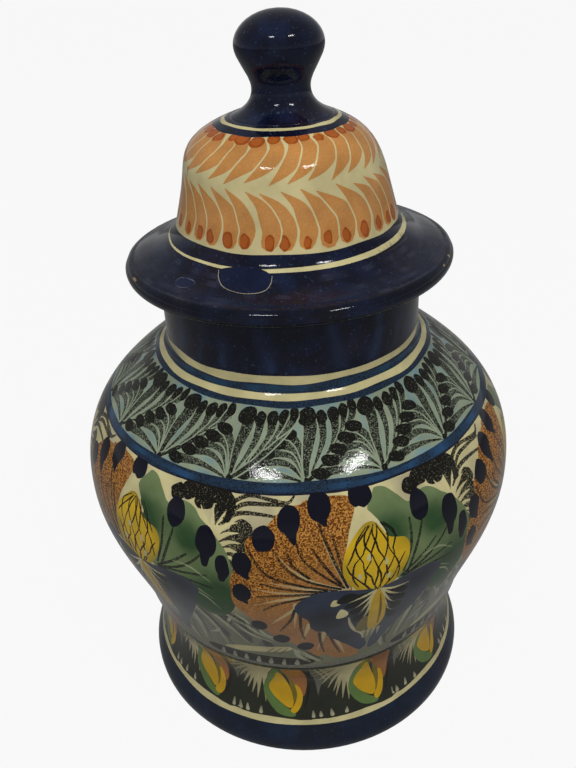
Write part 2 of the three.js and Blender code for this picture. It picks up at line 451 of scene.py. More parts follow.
def cut_strokes(sheet):
    """Cuts the outline of every stroke into the unrolled wall. Gives the points in degrees
    and millimetres, the triangles between them, and the triangles that each stroke covers."""
    scale = math.radians(1) * float(sheet.profile.at((sheet.low + sheet.high) / 2)[0]) / MM
    low, high = sheet.low / MM, sheet.high / MM
    around = np.linspace(-180, 180, SIDES + 1)
    up = np.linspace(low, high, round((high - low) / SKIN_ROW) + 1)
    border = [(x, low) for x in around] + [(180, y) for y in up[1:-1]]
    border += [(x, high) for x in around[::-1]] + [(-180, y) for y in up[-2:0:-1]]
    outlines = [np.array(border)]
    for outline, _, _, _, start in sheet.strokes:
        outlines.append(outline + (0, start / MM))
    verts, faces = [], []
    for outline in outlines:
        x, y = outline.T
        if x @ np.roll(y, -1) < y @ np.roll(x, -1):
            outline = outline[::-1]
        faces.append(list(range(len(verts), len(verts) + len(outline))))
        verts += [Vector((x * scale, y)) for x, y in outline]
    for i, y in enumerate(up[1:-1]):
        shift = (i % 2) * 180 / SIDES
        verts += [Vector((x * scale, y)) for x in around[1:-1] + shift]
    flat, _, cut, _, _, laid = delaunay_2d_cdt(verts, [], faces, 0, CUT_PRECISION, True)
    flat = np.array([(v.x / scale, v.y) for v in flat])
    inside = [i for i, over in enumerate(laid) if 0 in over]
    cut = np.array([cut[i] for i in inside])
    side = np.cross(flat[cut[:, 1]] - flat[cut[:, 0]], flat[cut[:, 2]] - flat[cut[:, 0]])
    cut[side < 0] = cut[side < 0][:, ::-1]
    covered = [[] for _ in outlines]
    for face, i in enumerate(inside):
        for layer in laid[i]:
            covered[layer].append(face)
    return flat, cut, covered[1:]


def painted_skin(sheet, ground):
    """The painted stretch of a wall. Each facet has the colour and the grain of the
    strokes laid over it."""
    flat, cut, covered = cut_strokes(sheet)
    spots = flat[cut].reshape(-1, 2)
    colour = np.tile(ground["colour"], (len(spots), 1))
    grain = np.tile(ground["grain"], (len(spots), 1))
    for layer, (_, kind, load, turn, start) in zip(covered, sheet.strokes):
        corners = (np.array(layer, int)[:, None] * 3 + (0, 1, 2)).ravel()
        if not len(corners):
            continue
        amount = np.ones(len(corners))
        if load:
            amount = load(spots[corners] - (turn, start / MM))
        amount = amount[:, None]
        if kind["colour"]:
            amount = amount.clip(0, 1)
            colour[corners] += (kind["colour"] - colour[corners]) * amount
            grain[corners] += (kind["grain"] - grain[corners]) * amount
        else:
            grain[corners, :1] = np.maximum(grain[corners, :1], kind["grain"][0] * amount)
    used, cut = np.unique(cut, return_inverse=True)
    flat = flat[used]
    mesh = bpy.data.meshes.new("painted_skin")
    places = on_wheel(sheet.profile, flat[:, 0], flat[:, 1] * MM)
    mesh.from_pydata(places.tolist(), [], cut.reshape(-1, 3).tolist())
    skin = put("painted_skin", mesh)
    stain(skin, colour, grain)
    skin.data.materials.append(glaze)
    return skin


def stain(piece, colour, grain):
    """Stores a glaze's colour and grain on every corner of a piece's facets."""
    for name, values in (("wash", colour), ("grain", grain)):
        corners = len(piece.data.loops)
        layer = piece.data.attributes.new(name, "FLOAT_VECTOR", "CORNER")
        layer.data.foreach_set("vector", np.broadcast_to(values, (corners, 3)).ravel())


def plain_wall(profile, start, end, kind):
    """A stretch of wall with one kind of glaze, or with none on it, as bare clay."""
    stretch = throw(profile, start, end)
    if kind:
        stain(stretch, kind["colour"], kind["grain"])
    stretch.data.materials.append(glaze if kind else clay)
    return stretch


def glazed(name, sheet, ground, zones):
    """A thrown piece, closed all round. A zone is a distance along the profile and what
    the wall has from there on: the painting, one kind of glaze, or nothing."""
    ends = [start for start, _ in zones[1:]] + [float(sheet.profile.along[-1])]
    parts = [painted_skin(sheet, ground)]
    for (start, kind), end in zip(zones, ends):
        if kind != PAINTED:
            parts.append(plain_wall(sheet.profile, start, end, kind))
    return assemble(name, sheet.profile, parts)


def assemble(name, profile, parts):
    """Joins thrown walls and their painted skin into one closed piece. Its shading follows
    the profile itself, and its UV map is the wall unrolled."""
    take_up(*parts)
    bpy.ops.object.join()
    piece = bpy.context.view_layer.objects.active
    piece.name = piece.data.name = name
    bpy.ops.object.mode_set(mode="EDIT")
    weld(gap=1e-5)
    bpy.ops.mesh.select_all(action="SELECT")
    bpy.ops.mesh.normals_make_consistent(inside=False)
    bpy.ops.object.mode_set(mode="OBJECT")
    bpy.ops.object.shade_smooth()
    tree = KDTree(len(profile.points))
    for i, (radius, height) in enumerate(profile.points):
        tree.insert((radius, height, 0), i)
    tree.balance()
    mesh = piece.data
    places = np.empty(len(mesh.vertices) * 3)
    mesh.vertices.foreach_get("co", places)
    places = places.reshape(-1, 3)
    radius = np.hypot(places[:, 0], places[:, 1])
    nearest = np.array([tree.find((r, z, 0))[1] for r, z in zip(radius, places[:, 2])])
    lean = profile.normals[nearest]
    out = places[:, :2] / np.maximum(radius, 1e-9)[:, None]
    normals = np.column_stack([out * lean[:, :1], lean[:, 1:]])
    mesh.normals_split_custom_set_from_vertices(normals.tolist())
    unroll(mesh, places, profile.along[nearest] / profile.along[-1])
    return piece


UV_MARGIN = 0.01


def unroll(mesh, places, up):
    """The bake map: once round the wheel across, and the whole profile upwards."""
    vertex = np.empty(len(mesh.loops), np.int32)
    mesh.loops.foreach_get("vertex_index", vertex)
    turns = np.arctan2(places[:, 0], -places[:, 1])[vertex] / (2 * math.pi)
    face = np.concatenate([np.full(p.loop_total, i) for i, p in enumerate(mesh.polygons)])
    centre = np.array([p.center for p in mesh.polygons])
    middle = (np.arctan2(centre[:, 0], -centre[:, 1]) / (2 * math.pi))[face]
    turns = middle + (turns - middle + 0.5) % 1 - 0.5
    across = UV_MARGIN + (1 - 2 * UV_MARGIN) * (turns + 0.5).clip(0, 1)
    layer = mesh.uv_layers.new(name="OFBake")
    layer.uv.foreach_set("vector", np.stack([across, up[vertex]], 1).astype(np.float32).ravel())


class Shader:
    """The nodes that make up a material, or the light of the room."""

    def __init__(self, owner):
        owner.use_nodes = True
        self.nodes = owner.node_tree.nodes
        self.nodes.clear()

    def add(self, kind, settings=None, **inputs):
        """Adds a node with its settings, and links or sets its inputs. _0 is the first."""
        node = self.nodes.new("ShaderNode" + kind)
        for key, value in (settings or {}).items():
            setattr(node, key, value)
        for key, value in inputs.items():
            socket = node.inputs[int(key[1:]) if key[0] == "_" else key.replace("_", " ")]
            if isinstance(value, bpy.types.NodeSocket):
                node.id_data.links.new(value, socket)
            else:
                socket.default_value = value
        return node

    def noise(self, size, detail):
        """Cloudy grains of about this size, fixed to the piece."""
        place = self.add("TexCoord").outputs["Object"]
        return self.add("TexNoise", Vector=place, Scale=1 / size, Detail=detail).outputs[0]

    def ramp(self, value, low, high, start=0.0, end=1.0):
        """Goes evenly from start to end while the value goes from low to high."""
        limits = {"From_Min": low, "From_Max": high, "To_Min": start, "To_Max": end}
        return self.add("MapRange", Value=value, **limits).outputs[0]

    def reckon(self, operation, *values, clamped=False):
        """One step of arithmetic."""
        settings = {"operation": operation, "use_clamp": clamped}
        values = {f"_{i}": value for i, value in enumerate(values)}
        return self.add("Math", settings, **values).outputs[0]

    def mix(self, share, under, over, blend="MIX"):
        """A share of one colour laid over another. Either may be written as hex."""
        settings = {"data_type": "RGBA", "blend_type": blend}
        under, over = ((*linear(c), 1) if isinstance(c, str) else c for c in (under, over))
        return self.add("Mix", settings, _0=share, _6=under, _7=over).outputs[2]

    def finish(self, colour, level, height, **inputs):
        """The surface in this colour. Its level makes bumps up to the height."""
        bump = self.add("Bump", Height=level, Distance=height, Strength=1.0).outputs[0]
        surface = self.add("BsdfPrincipled", Base_Color=colour, Normal=bump, **inputs)
        self.add("OutputMaterial", Surface=surface.outputs[0])


# Majolica: oxides brushed on raw white tin glaze, which melt into it in the
# firing. The colours sink in and break into grains, and the surface is a
# thick, wet-looking glass that is not quite level.
GRAIN_SIZE = 0.0005  # a grain of oxide, as it spreads in the melting glaze
FAN_GRAIN_SIZE = 0.00065  # the coarser brown grains in the orange
PIT_SIZE = 0.0011  # the glaze's fine orange-peel, and pale freckles in the cobalt
POOL_SIZE = 0.009  # patches where the brush left more or less colour
RIPPLE_SIZE = 0.022  # the glaze's slow unevenness, which bends the highlights
RIPPLE_HEIGHT = 0.00025
PIT_SHARE, GRAIN_SHARE = 0.12, 0.035  # how deep pits and grains are beside the ripples
BLACK_OXIDE = "#0E0D09"
FAN_BROWN = "#522A07"
COBALT_THICK = "#080B1B"
COBALT_IRON = "#181018"
COBALT_THIN = "#182645"
COBALT_FRECKLE = "#33425F"
GLAZE_REFLECTION = 0.25  # Principled's level, low for a glaze that light sinks into
GLAZE_ROUGHNESS = 0.07


def majolica(name):
    """The glaze. Each facet's wash and grain say what the brush left there."""
    material = bpy.data.materials.new(name)
    shader = Shader(material)
    wash = shader.add("Attribute", {"attribute_name": "wash"}).outputs["Color"]
    grain = shader.add("Attribute", {"attribute_name": "grain"}).outputs["Vector"]
    ink, speckle, cobalt = shader.add("SeparateXYZ", Vector=grain).outputs
    fine, coarse = shader.noise(GRAIN_SIZE, 1.5), shader.noise(FAN_GRAIN_SIZE, 1.0)
    pits, pools = shader.noise(PIT_SIZE, 2.0), shader.noise(POOL_SIZE, 4.0)
    ripple = shader.noise(RIPPLE_SIZE, 2.0)
    # The wash is lighter and darker where it pooled.
    colour = shader.mix(1.0, wash, shader.ramp(pools, 0.3, 0.7, 0.86, 1.12), "MULTIPLY")
    # The orange has brown grains.
    brown = shader.reckon("MULTIPLY", shader.ramp(coarse, 0.4, 0.56), speckle, clamped=True)
    colour = shader.mix(brown, colour, FAN_BROWN)
    # The cobalt is thin and milky in places, and nearly black where it is thick.
    blue = shader.mix(shader.ramp(ripple, 0.5, 0.66, 0.0, 0.8), COBALT_THICK, COBALT_IRON)
    blue = shader.mix(shader.ramp(pools, 0.42, 0.8, 0.0, 0.55), blue, COBALT_THIN)
    blue = shader.mix(shader.ramp(pits, 0.62, 0.82, 0.0, 0.9), blue, COBALT_FRECKLE)
    colour = shader.mix(cobalt, colour, blue)
    # The black lets the ground through between its grains where the brush ran dry.
    cover = shader.reckon("MULTIPLY_ADD", fine, -2.4, 1.2)
    cover = shader.reckon("ADD", shader.reckon("MULTIPLY", ink, 1.25), cover)
    cover = shader.add("MapRange", {"interpolation_type": "SMOOTHSTEP"}, Value=cover).outputs[0]
    inked = shader.reckon("MULTIPLY", ink, 20.0, clamped=True)
    colour = shader.mix(shader.reckon("MULTIPLY", cover, inked), colour, BLACK_OXIDE)
    level = shader.reckon("MULTIPLY_ADD", pits, PIT_SHARE, ripple)
    level = shader.reckon("MULTIPLY_ADD", fine, GRAIN_SHARE, level)
    shine = {"Roughness": GLAZE_ROUGHNESS, "Specular_IOR_Level": GLAZE_REFLECTION}
    shader.finish(colour, level, RIPPLE_HEIGHT, **shine)
    return material


# Fired clay, where the jar and the lid were wiped so as not to stick in the kiln.
CLAY_LIGHT = "#B58D6C"
CLAY_DARK = "#8F6346"
CLAY_MOTTLE_SIZE = 0.004
CLAY_GRIT_SIZE = 0.0006
CLAY_GRIT_HEIGHT = 0.00006
CLAY_ROUGHNESS = 0.85


def fired_clay(name):
    """The clay, mottled by the fire and gritty to the touch."""
    material = bpy.data.materials.new(name)
    shader = Shader(material)
    mottle = shader.ramp(shader.noise(CLAY_MOTTLE_SIZE, 5.0), 0.35, 0.65)
    colour = shader.mix(mottle, CLAY_LIGHT, CLAY_DARK)
    grit = shader.noise(CLAY_GRIT_SIZE, 2.0)
    shader.finish(colour, grit, CLAY_GRIT_HEIGHT, Roughness=CLAY_ROUGHNESS)
    return material


glaze, clay = majolica("majolica_glaze"), fired_clay("fired_clay")

# The potter's paints, in the colours that they have after the firing.
CREAM = paint("#B3AA7E")
CREAM_DULL = paint("#9C9476")
NAVY = paint(COBALT_THICK, cobalt=1.0)
FOOT_NAVY = paint("#17222F", cobalt=0.5)
BAND_BLUE = paint("#1B3046", ink=0.35)
GREY_GREEN = paint("#7B8570")
INK_DOT = paint("#05071A", ink=0.25)
LINE = paint(ink=0.7)
GREY_INK = paint(ink=0.5)
SOLID = paint(ink=0.95)
PAINTED = "painted"  # stands for the strokes, where a zone of a piece has those

PAINT_LOW = 0.0125
BELLY_LOW = 0.055
SHOULDER_LOW = 0.158
PAINT_HIGH = 0.2105
BUDS, FANS, REPEATS = 12, 17, 6
FIRST_FAN = 2  # degrees to the right of the middle
jar_sheet = Sheet(jar_profile, jar_profile.reach(PAINT_LOW), jar_profile.reach(PAINT_HIGH), seed=5)


def foot_bud(sheet):
    """On the foot band: a tulip bud on a dark ground, with combed cream strokes beside it."""
    comb = paint("#A89F78")
    ground = (
        (-27, 15), (-12, 15), (3, 15), (3, 30), (1, 44), (-3, 53), (-14, 53), (-20, 48), (-25, 38), (-27, 26),
    )
    hollows = sheet.pool((-18, 22, 13), (0, 24, 11), (-6, 20, 12), (0.5, 40, 9), (-26, 24, 8))
    sheet.patch(ground, paint("#24261E"), hollows)
    for k in range(9):
        turn = k / 8
        end = (-15.6 - 14 * turn**0.8 + sheet.jitter(0.5), 22.5 + 23 * turn**1.3)
        middle = ((end[0] - 13.4) / 2 - 0.8 + 0.8 * turn, (end[1] + 52) / 2 + 3)
        points = ((-12 - 5 * turn, 52.4), middle, end)
        sheet.brush(points, (1.7, 2.5 - 0.8 * turn, 0.3), comb, (1, 0.95 - 0.3 * turn, 0.5))
    for x in (2, 4):
        sheet.brush(((x, 51), (x + 2.4, 44), (x + 4.6, 36)), (0.9, 1.3, 0.3), comb, (0.5, 0.45, 0.3))
    for x in (-26.4, -22.4, -17.2, 1.4, 4.2, 7.0):
        points = ((x, 16), (x + sheet.jitter(0.3), 18.8 + sheet.jitter(0.8)))
        sheet.brush(points, (1.9, 0.8), paint("#9C987E"), (0.9, 0.4))
    sepal = (
        (-6, 15.6), (-10.5, 17), (-13.6, 21), (-16, 27), (-16, 33), (-14.4, 40), (-12, 48.5), (-10.6, 52),
        (-9.6, 47), (-12, 38), (-13, 30), (-9, 22), (-5, 18),
    )
    heart = ((-8, 50), (-7, 38), (-5.8, 27), (-4.2, 20), (-2.4, 27), (-3, 36), (-4, 46))
    petal = (
        (-9, 52), (-3, 52.6), (-1, 46), (-0.4, 38), (-0.8, 31), (-2.2, 27.5), (-3.4, 33), (-5.2, 37),
        (-7.6, 44),
    )
    rim = (
        (-10, 47), (-12, 40), (-14.2, 33), (-13, 28), (-10, 23.8), (-7, 20.8), (-5.6, 23), (-5.8, 30),
        (-7.4, 37),
    )
    tip = ((-4.6, 35), (-3, 33), (-2.2, 27), (-3, 21), (-5, 17.6), (-6.6, 19.6), (-4.9, 24), (-4.2, 30))
    for points, kind in (
        (sepal, paint("#536A38")),
        (heart, paint("#665A1E")),
        (petal, paint("#8A5A30", speckle=0.15)),
        (rim, paint("#B08A16")),
        (tip, paint("#B08A16")),
    ):
        sheet.patch(points, kind)
    shadow = ((0.2, 50), (0.6, 40), (0, 30), (-1.6, 21))
    sheet.brush(shadow, (0.8, 1.4, 1.5, 0.8), paint("#1B1810"), (0.7, 0.9, 0.9))


def shoulder_fan(sheet):
    """On the shoulder: a sprig of combed leaves in thin black on a grey-green wash."""
    leaf, tip, dry = paint(ink=0.64), paint(ink=0.92), (1.3, 1, 0.9, 1.1)
    for dx, y in ((-17.4, 3.8), (-14.2, 8.2), (-11.4, 12), (-8.2, 15.6), (-5, 19.2)):
        steep = (y - 3.8) / 15.4
        low = (dx * (0.3 - 0.18 * steep), y * (0.93 - 0.41 * steep))
        high = (dx * (0.6 - 0.24 * steep), y * (1.2 - 0.4 * steep))
        points = ((-0.2, 1.2), low, high, (dx * 0.93, y + 0.2))
        sheet.edged(GREY_GREEN, 1.1, points, (0.5, 1.4, 2.6, 3.6), leaf, dry)
        sheet.dab(dx + 0.2, y, 6.8, 4.6, tip, 0.2, -0.3)
    points = ((0, 1.2), (0.2, 7), (0.9, 14), (2.2, 20.5), (2.6, 25))
    sheet.edged(GREY_GREEN, 1.1, points, (1.0, 1.9, 3.3, 4.6, 5.6), leaf, (1.3, 1, 1, 1.1))
    sheet.dab(1.7, 25.6, 7, 7.4, tip, 0.2, 0.2)
    points = ((0, 1.2), (4.5, 6.5), (9.8, 12.8), (14.2, 18.6), (18.4, 24.2))
    sheet.edged(GREY_GREEN, 1.2, points, (1.2, 1.7, 1.9, 1.6, 1.2), leaf, (1.3, 0.9))
    for points, wide in (
        (((1.4, 4.6), (3.8, 10.5), (5.8, 17), (6.5, 24)), 3.8),
        (((5, 8.8), (7.8, 13.4), (10, 18.8), (10.7, 24.4)), 4.2),
        (((9, 13.8), (11.6, 17.6), (13.6, 21.4), (14.5, 25)), 3.8),
        (((12.8, 18), (15.2, 21), (17, 24), (18, 26)), 3.2),
    ):
        sheet.edged(GREY_GREEN, 1.0, points, (0.4, 1.3, 2.4, wide - 0.4), leaf, (1, 0.9, 1.1))
        x, y = points[-1]
        sheet.dab(x, y + 0.8, wide + 0.3, 6, tip, 0.2, 0.1)
    sheet.dab(0, 1.4, 2.4, 3.0, tip, 0.15)


def belly_fan(sheet):
    """A fan of orange petals, each ending in a cobalt dot, with thin black ribs."""
    outline = (
        (10.5, 65), (8.3, 75), (9, 81), (10.3, 89), (12.3, 98.5), (12, 103.5), (7, 105), (1, 104),
        (-0.5, 102.5), (-4, 101.5), (-7.4, 96.5), (-9, 93.4), (-12.4, 90), (-13.2, 86), (-12.4, 80),
        (-15.4, 77), (-16.8, 72), (-17.2, 65), (-16.8, 56), (-14.4, 49), (-13, 44), (-10.6, 37), (-7.6, 31),
        (-4.3, 26), (-1, 19), (2.4, 11.5), (5.4, 12), (7.6, 8.4), (12, 6.6), (15.5, 8), (13, 16), (8, 27),
        (4, 40), (6, 55),
    )
    orange, bright = paint("#94683C", speckle=0.3), paint("#AC7834", speckle=1.0)
    sheet.shaded(outline, orange, bright, (4, 99, 12), (-10, 90, 13), (-16, 70, 9))
    for points in (
        ((9.8, 66), (6.8, 79), (4.2, 89)),
        ((9, 65.8), (2, 71.5), (-3, 78), (-6, 84)),
        ((8, 65.5), (-2, 69), (-9, 72)),
        ((6, 65), (-4, 66), (-12, 67.5)),
        ((1, 64.4), (-6, 62), (-12, 58)),
        ((-2.4, 60), (-2.8, 50), (-3.2, 41)),
        ((-2.6, 57), (-6, 50), (-9, 44)),
        ((0.6, 44), (-0.6, 35), (-1.6, 28)),
        ((4.4, 37), (4, 27), (2.6, 17)),
        ((7.6, 27), (9.4, 18), (11, 10)),
    ):
        sheet.brush(points, (1.5, 1.3, 0.3), paint("#A89870"), (0.95, 0.8, 0.5))
    for points in (
        ((9.7, 67), (6.9, 79), (4.7, 90), (3.7, 96)),
        ((9.2, 69), (8, 79), (6.6, 90)),
        ((8.8, 67), (3, 76), (-0.5, 83), (-1.8, 90)),
        ((8, 69), (4.6, 78), (2, 86)),
        ((8, 66.5), (0, 72.5), (-4, 78), (-6.8, 86)),
        ((1, 73.4), (-2.4, 79), (-3.6, 84)),
        ((7, 66), (-3, 71), (-9, 75.5), (-12.6, 86)),
        ((6, 65.8), (-4, 68), (-10, 70.5)),
        ((5, 65.4), (-5, 65), (-11, 63.4)),
        ((1, 64), (-6, 60), (-10, 55)),
        ((-2.8, 56), (-4, 48), (-7, 38)),
        ((-1.6, 52), (-1.6, 40), (-1, 30)),
        ((3, 35), (3.6, 24), (4.6, 15)),
        ((6, 31), (7.4, 22), (9.6, 12)),
    ):
        sheet.brush(points, (1.1, 1.2, 0.9), LINE, (1.2, 0.9, 0.75))
    for x, y, wide, tall, tail in (
        (14.4, 103.4, 8.4, 10, 0), (4.1, 101.8, 8.2, 11.2, 1.5), (-3.1, 97, 8.4, 11, 3),
        (-9, 90, 8.6, 10.4, 0), (-14, 79, 7.4, 10.5, 1), (-14.7, 64.5, 7, 10.5, 0.5), (-12, 42, 6.2, 8.4, 0),
        (-7, 30, 6.8, 8.6, 0), (-0.6, 22, 7, 8.2, 0),
    ):
        sheet.dab(x, y, wide, tall, INK_DOT, 0.35)
        if tail:
            points = ((x, y - tall * 0.25), (x + 1, y - tall / 2 - tail))
            sheet.brush(points, (wide * 0.75, 1.6), INK_DOT)


def belly_leaf(sheet):
    """The green leaf that rises beside the fruit, with its own ribs and dots."""
    outline = (
        (15.5, 98), (17.4, 103), (18.4, 105), (21, 104), (23.6, 100), (26, 96.4), (29, 98.6), (31.5, 98.6),
        (33.8, 97.4), (35.6, 94.4), (37.4, 92), (40, 88), (42.4, 82), (44, 72), (43.8, 60), (41.5, 50),
        (37.5, 44), (33, 46), (30, 54), (26, 60), (22, 64), (20, 70), (18, 82), (17, 92),
    )
    folds = ((19.6, 90, 4.2), (20.6, 85, 3.4), (31.6, 88, 3.6), (33, 82, 3), (40, 62, 8), (36, 52, 7))
    sheet.shaded(outline, paint("#61704A"), paint("#264023"), *folds)
    for points in (
        ((24, 66), (26.4, 77), (28.6, 87)),
        ((23, 68), (25.2, 79), (25.4, 90)),
        ((24, 66), (29, 69.6), (33.4, 75), (36, 80)),
        ((22.6, 65.6), (28, 72), (32, 77.6)),
        ((23, 65.4), (31, 68), (37, 70)),
        ((23, 65), (32, 65), (38, 64)),
    ):
        sheet.brush(points, (1.0, 1.3, 1.0), LINE, (1.1, 0.9, 0.8))
    for points in (
        ((24.6, 64.6), (32, 63), (38, 57)),
        ((28, 72), (33, 72), (38, 67)),
        ((30, 62), (36, 57), (39, 50)),
    ):
        sheet.brush(points, (0.5, 1.0, 0.3), paint("#8F9674"), (0.6, 0.7, 0.4))
    for x, y, wide, tall, tail in (
        (28.6, 93.6, 8, 12, 0), (37.2, 85.5, 8.4, 13.6, 4), (41.2, 76, 5.6, 11.5, 1),
    ):
        sheet.dab(x, y, wide, tall, INK_DOT, 0.35)
        sheet.brush(((x, y), (x - 0.4, y - tall * 0.42 - tail)), (wide * 0.8, 2.8), INK_DOT)


def belly_fruit(sheet):
    """The yellow fruit with its netted skin and its cream tip."""
    tip = ((10.2, 88), (12.4, 99), (14.8, 98.4), (17, 94.6), (19.6, 88), (17.6, 88), (16, 91.6), (13.4, 91))
    sheet.patch(tip, CREAM)
    middle, foot, height, half_width = 16.6, 61.4, 31.6, 7.7
    outline = (
        (16.5, 61), (13, 62.5), (10.5, 66.5), (8.8, 72), (8.4, 78), (9.5, 84), (11.5, 89), (14, 92.8),
        (16.2, 93), (18.2, 89.5), (19.5, 86), (21.4, 84.6), (23.6, 83.4), (24.8, 80), (24.5, 75), (23.4, 70),
        (21.4, 65), (19, 62),
    )
    lights = ((11, 84, 4), (14, 72, 4.5), (17, 86, 3.4), (22, 77, 4), (17, 65, 3.2))
    sheet.shaded(outline, paint("#83701A"), paint("#BC9A1B"), *lights)
    for k in range(14):
        side = 1 if k % 2 else -1
        start = (k - 6.5) * 0.19 + sheet.jitter(0.07)
        points = []
        for step in range(9):
            up = step / 8 * 0.94 + 0.03
            across = start + side * (up - 0.45) * 0.9 + sheet.jitter(0.06)
            if abs(across) < 0.96:
                swell = (4 * up * (1 - up)) ** 0.55
                points.append((middle + across * half_width * swell, foot + up * height))
        if len(points) > 2:
            sheet.brush(points, (0.45, 0.8, 0.5, 0.75, 0.35), paint(ink=0.84), None, 0.35, 2)
    for x, y in ((14.6, 79), (18.8, 75.4), (12.4, 71), (19.4, 68)):
        sheet.dab(x, y, 1.6, 3.2, paint("#A9A377"), 0.2)


def belly_bract(sheet):
    """The slate-blue leaf in two lobes under the fruit, with black petals and a yellow pistil."""
    left = (
        (16.4, 62), (12, 64.4), (8, 65.6), (4, 65.8), (0.5, 64.4), (-1.8, 61), (-2.8, 57), (-2, 52),
        (0.3, 47), (0.8, 41), (2.2, 37), (4.4, 35.6), (5.6, 30), (8, 25), (11, 19), (14, 13), (16, 10.5),
        (17.6, 14), (16, 22), (14, 30), (13.4, 44), (14.6, 56),
    )
    sheet.shaded(left, paint("#29303F"), paint("#141822"), (4, 49, 4), (6, 42, 4), (9, 28, 5))
    right = (
        (17, 62), (21, 63.8), (26, 65.4), (30, 65.6), (33.5, 63.4), (34.4, 60), (33, 54), (31.5, 47),
        (29.5, 40), (27, 32), (24.5, 25), (22.6, 18), (21, 12), (18.6, 10.5), (18.2, 18), (19.4, 30),
        (20, 44), (19, 56),
    )
    sheet.shaded(right, paint("#373B46"), paint("#1C1F28"), (28, 58, 5), (25, 40, 4))
    sheet.patch(((5.6, 57), (6.4, 60.6), (8.2, 58.4), (7, 56.4)), CREAM, None, 0.1)
    sheet.patch(((8, 53.6), (9.8, 51), (9.8, 48), (8.2, 46.6), (7, 47.6)), CREAM, None, 0.1)
    vein = ((10.2, 46), (10.8, 40), (12.4, 33), (14.8, 27.6), (16, 22))
    sheet.brush(vein, (0.5, 1.3, 1.5, 1.2, 0.4), CREAM_DULL)
    for x, y, wide, tall, lean in (
        (9.4, 60, 8, 5.8, 0.5), (11, 55.4, 6.6, 5.2, 0.3), (12, 50, 5.4, 5.6, 0), (12.8, 43.6, 5, 6.6, 0),
        (13.8, 36, 4.6, 6.4, 0), (22.6, 57.4, 6.6, 5.4, -0.4), (23.2, 52, 5.4, 5.4, -0.2),
        (22.8, 46, 4.6, 6, 0), (22.2, 39, 4, 6.4, 0),
    ):
        sheet.brush(((16.8, 61.4), ((x + 16.8) / 2, (y + 61) / 2), (x, y)), (0.8, 1.8, 3.6), SOLID)
        sheet.dab(x, y, wide, tall, paint("#14120C", ink=0.9), 0.3, lean)
    for points in (
        ((16.4, 61.6), (13.4, 59.6), (10, 57.4)),
        ((16.2, 61), (14, 56.4), (11.6, 52.6)),
        ((16, 60), (14.4, 53), (12.6, 46.8)),
        ((15.8, 58), (14.8, 48), (13.6, 40)),
        ((17.6, 61.6), (21, 60), (25, 60.4)),
        ((17.8, 61), (20.6, 57), (23.4, 54.4)),
        ((17.8, 60), (20.4, 52), (22.6, 48.6)),
        ((18, 58), (20.6, 46), (22.4, 42)),
    ):
        sheet.brush(points, (1.1, 1.1, 0.3), CREAM, (1, 0.9, 0.5))
    sheet.patch(((14.6, 44), (12.8, 38), (12.8, 32), (15.4, 28.6), (17.6, 30), (16.6, 38)), paint("#62572A"))
    sheet.patch(
        (
            (16.8, 61.6), (15.6, 56), (15.3, 47), (15.7, 38), (16.4, 31), (18, 29.4), (19.8, 32), (20.3, 39),
            (19.9, 47), (18.8, 55), (17.8, 60.4),
        ),
        paint("#AC8C22"),
    )
    sheet.brush(((17.6, 59), (18.6, 46), (19, 34)), (0.5, 1.3, 0.8), paint("#3C3012"), (0.7, 0.8, 0.6))
    for x in (15.4, 17, 18.4, 19.8):
        sheet.brush(((x, 29), (x + sheet.jitter(0.5), 21.6)), (1.5, 0.4), CREAM_DULL, (0.9, 0.5))


def belly_thistle(sheet):
    """The black lobed leaf with scratched spines, and the three tendrils that curl from it."""
    soft, dense = paint(ink=0.62), paint(ink=0.93)
    for x, y, wide, tall in (
        (45.8, 92.6, 8, 8), (47, 86, 7, 7.6), (46.6, 79.4, 6.6, 8), (44.6, 73, 6, 8), (43, 66, 5.6, 8),
    ):
        sheet.brush(((39, 86), ((39 + x) / 2, (87 + y) / 2), (x, y)), (3, 4.4, 5.4), soft, (1.2, 1.1, 1))
        sheet.dab(x, y, wide, tall, paint(ink=0.76), 0.4)
    for x, y, wide, tall in (
        (28.4, 101.6, 7, 6.4), (31.4, 103.4, 7, 7), (34.8, 104.6, 7.6, 7), (38.6, 104.6, 7.6, 8),
        (41.6, 102, 7, 9), (41.8, 98, 5.6, 7), (36, 101, 8, 7),
    ):
        sheet.dab(x, y, wide, tall, dense, 0.4)
    sheet.brush(((40.6, 100), (40, 92), (40.4, 84)), (6, 5, 3), soft, (1.3, 1.1, 1))
    for points in (
        ((38.4, 90), (36.6, 95), (35.2, 99.4)),
        ((39, 90.6), (38.8, 95.6), (38.6, 99)),
        ((39.6, 91), (41, 95.6), (42, 100.4)),
        ((39.8, 90), (42.4, 94), (45, 95.4)),
        ((40, 88), (42.6, 90.6), (45.4, 91.6)),
        ((40.4, 85.6), (43, 87.6), (45.8, 87.4)),
        ((40.6, 83), (43.2, 84.4), (46, 82.6)),
        ((41, 80), (43.4, 81), (45.6, 78.6)),
    ):
        sheet.brush(points, (2.2, 1.5, 0.2), CREAM)
    for points, widths in (
        (
            ((40.6, 97.5), (42.8, 102), (47, 105.4), (52, 104.6), (56.4, 103.4), (58.4, 105.8)),
            (1.0, 1.8, 1.6, 1.4, 1.8, 0.8),
        ),
        (((41.4, 96), (45.6, 102), (51, 102.8), (56, 102.4)), (0.8, 1.6, 1.4, 1.2)),
        (((40.4, 93.6), (44.4, 98.4), (49, 99.2), (54, 98.2)), (0.8, 1.7, 1.4, 1.0)),
    ):
        sheet.brush(points, widths, paint(ink=0.72))


